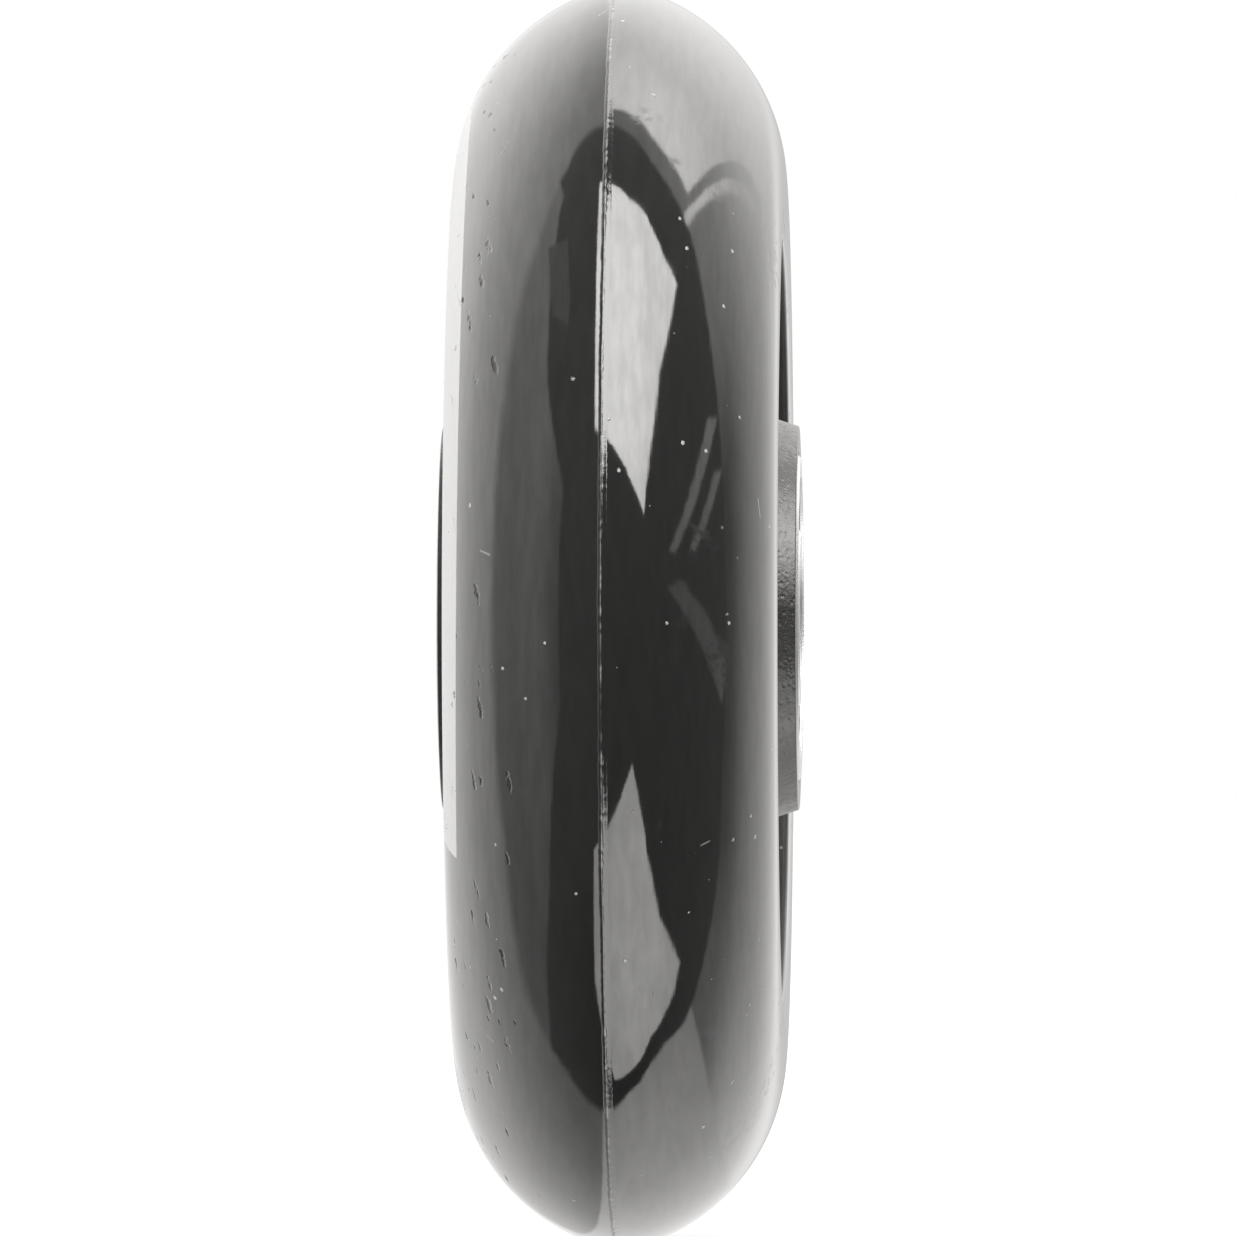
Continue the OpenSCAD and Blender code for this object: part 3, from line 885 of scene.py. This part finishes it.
def make_shield(name, side, face):
    """A pressed sheet ring with rolled bends, on one face of the bearing on one side."""
    low = SHIELD_Z
    high = SHIELD_Z + SHIELD_PRESS
    step = SHIELD_BEND - SHIELD_T
    outline = [
        (SHIELD_INNER, high), (step, high), (SHIELD_BEND, low), (SHIELD_OUTER, low),
        (SHIELD_OUTER, low + SHIELD_T), (SHIELD_BEND, low + SHIELD_T), (step, high + SHIELD_T),
        (SHIELD_INNER, high + SHIELD_T),
    ]
    outline = [(r, side * (BEARING_Y + face * z)) for r, z in rounded(outline, SHIELD_ROLL)]
    piece = lathe(name, outline, segments=144, sharp_degrees=50.0)
    add_weighted_normals(piece)
    return piece


def make_clip(name, side, face):
    """An open ring of spring wire with rounded ends."""
    y = side * (BEARING_Y + face * CLIP_Z)
    gap = math.radians(CLIP_GAP) / 2
    end_turn = CLIP_WIRE_R / CLIP_R
    start = gap + end_turn
    ends = []
    for angle in CLIP_END_ANGLES:
        a = math.radians(angle)
        ends.append((gap + end_turn * (1 - math.cos(a)), math.sin(a)))
    stations = ends + [(between(start, math.tau - start, k / CLIP_STEPS), 1.0) for k in range(CLIP_STEPS + 1)]
    stations += [(math.tau - turn, share) for turn, share in reversed(ends)]
    bm = bmesh.new()
    rings = []
    for turn, share in stations:
        section = [polar(CLIP_WIRE_R * share, math.tau * k / CLIP_SIDES) for k in range(CLIP_SIDES)]
        rings.append([bm.verts.new(on_axle(CLIP_R + p.x, turn, y + p.y)) for p in section])
    skin(bm, rings, closed=False)
    bm.faces.new(rings[0])
    bm.faces.new(rings[-1])
    return finish_mesh(name, bm, sharp_degrees=60.0)


# Dressing the frame


def dress(piece, body, slot, material, *nodes):
    """Gives a piece its material, and says which body it rides and the nodes it replaces. The slot is not
    used.
    """
    piece.data.materials.clear()
    piece.data.materials.append(material)
    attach(piece, body)
    if nodes:
        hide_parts(*nodes)


ring_look = turned_metal(
    "ring_steel_ground",
    light=(0.46, 0.455, 0.45, 1), dark=(0.37, 0.37, 0.38, 1),
    smooth=0.32, rough=0.46, ring_pitch=0.09, depth=0.001,
)
shield_look = turned_metal(
    "shield_steel_pressed",
    light=(0.42, 0.415, 0.40, 1), dark=(0.33, 0.325, 0.32, 1),
    smooth=0.30, rough=0.46, ring_pitch=0.16, depth=0.006,
)
clip_look = turned_metal(
    "clip_steel_drawn",
    light=(0.40, 0.40, 0.40, 1), dark=(0.28, 0.28, 0.29, 1),
    smooth=0.22, rough=0.36, ring_pitch=0.08, depth=0.004,
)
spacer_look = turned_metal(
    "spacer_aluminium_turned",
    light=(0.56, 0.56, 0.57, 1), dark=(0.46, 0.46, 0.48, 1),
    smooth=0.28, rough=0.44, ring_pitch=0.12, depth=0.008,
)

dress(make_tyre(), "wheel", "tyre_urethane", tyre_material(), "tyre")
dress(make_flash(), "wheel", "tyre_urethane", flash_material())
dress(make_core(), "wheel", "core_nylon", core_material(), "core")
for side_name, side in SIDES.items():
    for face_name, face in FACES.items():
        stem = f"{side_name}_{face_name}"
        shield = make_shield(f"{stem}_shield_pressed", side, face)
        dress(shield, "wheel", "shield_steel", shield_look, f"{stem}_shield")
        clip = make_clip(f"{stem}_clip_wire", side, face)
        dress(clip, "wheel", "clip_steel", clip_look, f"{stem}_clip")

CAD_LOOKS = {
    "bearing_spacer": spacer_look,
    "outer_ring": ring_look,
    "inner_ring": ring_look,
    "cage": cage_material(),
    "ball": ball_material(),
}
for name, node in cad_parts.items():
    for ending, look in CAD_LOOKS.items():
        if name.endswith(ending) or f"_{ending}_" in name:
            node.material_slots[0].material = look


# Studio


def direction(azimuth, elevation):
    """A unit vector, with azimuth from +X towards +Y and elevation up, in degrees."""
    a = math.radians(azimuth)
    e = math.radians(elevation)
    return Vector((math.cos(e) * math.cos(a), math.cos(e) * math.sin(a), math.sin(e)))


def beyond(t, ray, normal, soft):
    """1 on the side of a plane through the eye that the normal points to, and 0 on the other."""
    return t.ramp(t.dot(ray, normal), -soft, soft)


def panel(t, ray, corners, soft):
    """1 where the ray meets a flat panel whose corners lie in these directions, and 0 beside it."""
    points = [direction(*corner) for corner in corners]
    middle = sum(points, Vector())
    edges = []
    for i, point in enumerate(points):
        normal = points[i - 1].cross(point).normalized()
        if normal.dot(middle) < 0:
            normal.negate()
        edges.append(beyond(t, ray, normal, soft))
    return t.product(*edges)


def panels(t, ray, outlines):
    """1 where the ray meets any of these panels."""
    return t.most(*(panel(t, ray, corners, PANEL_SOFT) for corners in outlines))


def near(t, ray, aim, cosines, levels):
    """A level that goes from the first to the second as the ray's cosine to the aim does."""
    return t.ramp(t.dot(ray, direction(*aim)), *cosines, *levels)


def room_light(t, ray):
    """The dark room behind the camera, the grey flat at its left and the lit strips at its right."""
    y, z = t.split(ray)[1:]
    room = t.total(
        t.product(z, 0.17),
        t.ramp(y, -0.5, 0.2, 0.57, 0.48),
        t.ramp(z, -0.95, -0.6, -0.1, 0.0),
    )
    aside = t.dot(ray, direction(20, 0))
    flat_light = t.product(
        t.linear(z, 0.85, 1.62),
        t.ramp(aside, -0.2, -0.04, 0.88, 1.0),
        t.ramp(aside, 0.08, 0.36, 1.0, 0.6),
    )
    light = t.level(panels(t, ray, LEFT_FLAT), room, flat_light)
    for corners, strength in STRIPS:
        light = t.level(panel(t, ray, corners, STRIP_SOFT), light, strength)
    return light


def sweep_light(t, ray):
    """The two sides of the white sweep behind the wheel, darkest straight behind it."""
    y, z = t.split(ray)[1:]
    upright = t.math("ABSOLUTE", z)
    left_behind = t.ramp(upright, 0.15, 0.45, 0.66, 0.82)
    left = t.product(
        near(t, ray, (-105, 30), (-0.1, 1.0), (1.35, 2.85)),
        near(t, ray, (180, 0), (0.6, 1.0), (1.0, left_behind)),
        t.ramp(z, -0.5, 0.3, 0.85, 1.0),
        t.ramp(z, 0.6, 0.9, 1.0, 0.8),
        t.ramp(z, -0.9, -0.65, 0.92, 1.0),
    )
    right_behind = t.ramp(upright, 0.02, 0.12, 0.55, 0.85)
    right = t.product(
        t.total(
            near(t, ray, (145, 0), (0.70, 0.95), (0.6, 1.6)),
            t.ramp(z, 0.1, 0.6, 0.0, 1.05),
            t.ramp(z, -0.55, -0.25, 0.45, 0.0),
            near(t, ray, (100, 38), (0.9, 1.0), (0.0, 0.4)),
        ),
        near(t, ray, (180, 0), (0.96, 1.0), (1.0, right_behind)),
    )
    return t.level(t.ramp(y, -0.08, -0.05), left, right)


def wall_light(t, ray):
    """The white sweep, with the lit ceiling and floor beyond its right side and a thin lit rim above it."""
    x, y, z = t.split(ray)
    ceiling_light = t.product(
        t.linear(z, 4.7, 0.95),
        t.ramp(x, -0.72, -0.28, 0.84, 1.40),
        t.ramp(y, 0.0, 0.55, 0.90, 1.14),
    )
    past_brow = t.dot(ray, BROW)
    rim = t.product(
        t.ramp(past_brow, -0.066, -0.050),
        t.fade(past_brow, -0.030, -0.026),
        t.ramp(z, 0.05, 0.5, 0.2, 1.0),
        t.ramp(z, 0.03, 0.1),
    )
    ceiling = t.product(
        t.ramp(past_brow, 0.006, 0.011),
        t.ramp(y, -0.08, -0.05),
        t.fade(x, -0.30, -0.28),
        t.ramp(z, 0.03, 0.15),
    )
    floor_light = t.total(t.linear(z, -1.5, 1.0), near(t, ray, (115, -65), (0.85, 1.0), (0.0, 0.45)))
    floor = t.product(
        beyond(t, ray, FLOOR_EDGE, FLOOR_SOFT),
        t.ramp(y, -0.13, -0.11),
        t.fade(z, -0.02, 0.02),
    )
    light = t.level(rim, sweep_light(t, ray), ceiling_light)
    light = t.level(ceiling, light, ceiling_light)
    return t.level(floor, light, floor_light)


def studio_light(t, ray):
    """What gloss mirrors: the room, the white sweep and two soft boxes above and below the camera's right."""
    x, y, z = t.split(ray)
    rightward = t.ramp(y, -0.3, 0.3)
    # The room ends a little behind the wheel's sides, nearer at some heights, and softer at the left
    edge = t.total(
        x,
        t.level(rightward, 0.115, 0.145),
        t.level(rightward, t.ramp(z, 0.68, 0.90, 0.0, 0.10), t.ramp(z, 0.45, 0.70, 0.0, 0.045)),
        near(t, ray, (-110, -60), (0.75, 0.95), (0.0, 0.095)),
        near(t, ray, (102, -34), (0.93, 0.99), (0.0, 0.06)),
    )
    steep = t.ramp(t.math("ABSOLUTE", z), 0.55, 0.8, 1.0, 0.4)
    soft = t.level(rightward, t.product(steep, 0.06), 0.012)
    in_front = t.ramp(edge, t.product(soft, -1.0), soft)
    light = t.level(in_front, wall_light(t, ray), room_light(t, ray))
    upper_light = near(t, ray, (15, 48), (0.75, 1.0), (12.2, 15.4))
    lower_light = near(t, ray, (40, -48), (0.75, 1.0), (4.2, 6.1))
    light = t.level(panels(t, ray, UPPER_BOX), light, upper_light)
    return t.level(panels(t, ray, LOWER_BOX), light, lower_light)


def make_world():
    """White to the camera, even light to matt surfaces, and the studio to gloss."""
    world = bpy.data.worlds.new("studio")
    bpy.context.scene.world = world
    t = Tree(world)
    ray = t.add("ShaderNodeTexCoord").outputs["Generated"]
    path = t.add("ShaderNodeLightPath").outputs
    even = t.level(path["Is Camera Ray"], 0.75, 1.0)
    plain = t.add("ShaderNodeBackground", {"Color": WHITE, "Strength": even})
    mirrored = t.add("ShaderNodeBackground", {"Color": WARM_WHITE, "Strength": studio_light(t, ray)})
    gloss = t.most(path["Is Glossy Ray"], path["Is Transmission Ray"])
    choice = t.add("ShaderNodeMixShader", {0: gloss, 1: plain.outputs[0], 2: mirrored.outputs[0]})
    t.add("ShaderNodeOutputWorld", {"Surface": choice.outputs[0]})


def make_floor():
    """A flat floor under the wheel, which gloss doesn't mirror."""
    bm = bmesh.new()
    bmesh.ops.create_grid(bm, x_segments=8, y_segments=8, size=3.0)
    mesh = bpy.data.meshes.new("studio_floor")
    bm.to_mesh(mesh)
    bm.free()
    floor = bpy.data.objects.new("studio_floor", mesh)
    bpy.context.scene.collection.objects.link(floor)
    floor.location.z = CAD_BOX[0].z
    floor.visible_glossy = False
    mesh.materials.append(floor_material())


def make_lamp(name, place, size, watts):
    """A square lamp aimed at the wheel, which neither the camera nor gloss sees."""
    lamp = bpy.data.lights.new(name, "AREA")
    lamp.shape = "SQUARE"
    lamp.size = size
    lamp.energy = watts
    holder = bpy.data.objects.new(name, lamp)
    holder.location = place
    holder.rotation_euler = (-Vector(place)).to_track_quat("-Z", "Y").to_euler()
    holder.visible_camera = False
    holder.visible_glossy = False
    bpy.context.scene.collection.objects.link(holder)


def make_camera():
    """The photograph's view: level with the axle, 1.5 degrees round to the right of the tread."""
    distance = 1.554
    yaw = math.radians(1.5)
    focal_pixels = 23276.0
    frame_pixels = 1236.0
    aim = Vector((0, -0.00022, 0))
    lens = bpy.data.cameras.new("photo_camera")
    lens.sensor_width = 36.0
    lens.lens = focal_pixels / frame_pixels * lens.sensor_width
    lens.clip_start = 0.01
    camera = bpy.data.objects.new("photo_camera", lens)
    camera.location = Vector((math.cos(yaw), math.sin(yaw), 0)) * distance
    camera.rotation_euler = (aim - camera.location).to_track_quat("-Z", "Y").to_euler()
    bpy.context.scene.collection.objects.link(camera)
    bpy.context.scene.camera = camera


make_world()
make_floor()
make_lamp("overhead", place=(0.25, -0.2, 1.3), size=1.0, watts=9.0)
make_camera()
bpy.context.scene.view_settings.view_transform = "Standard"
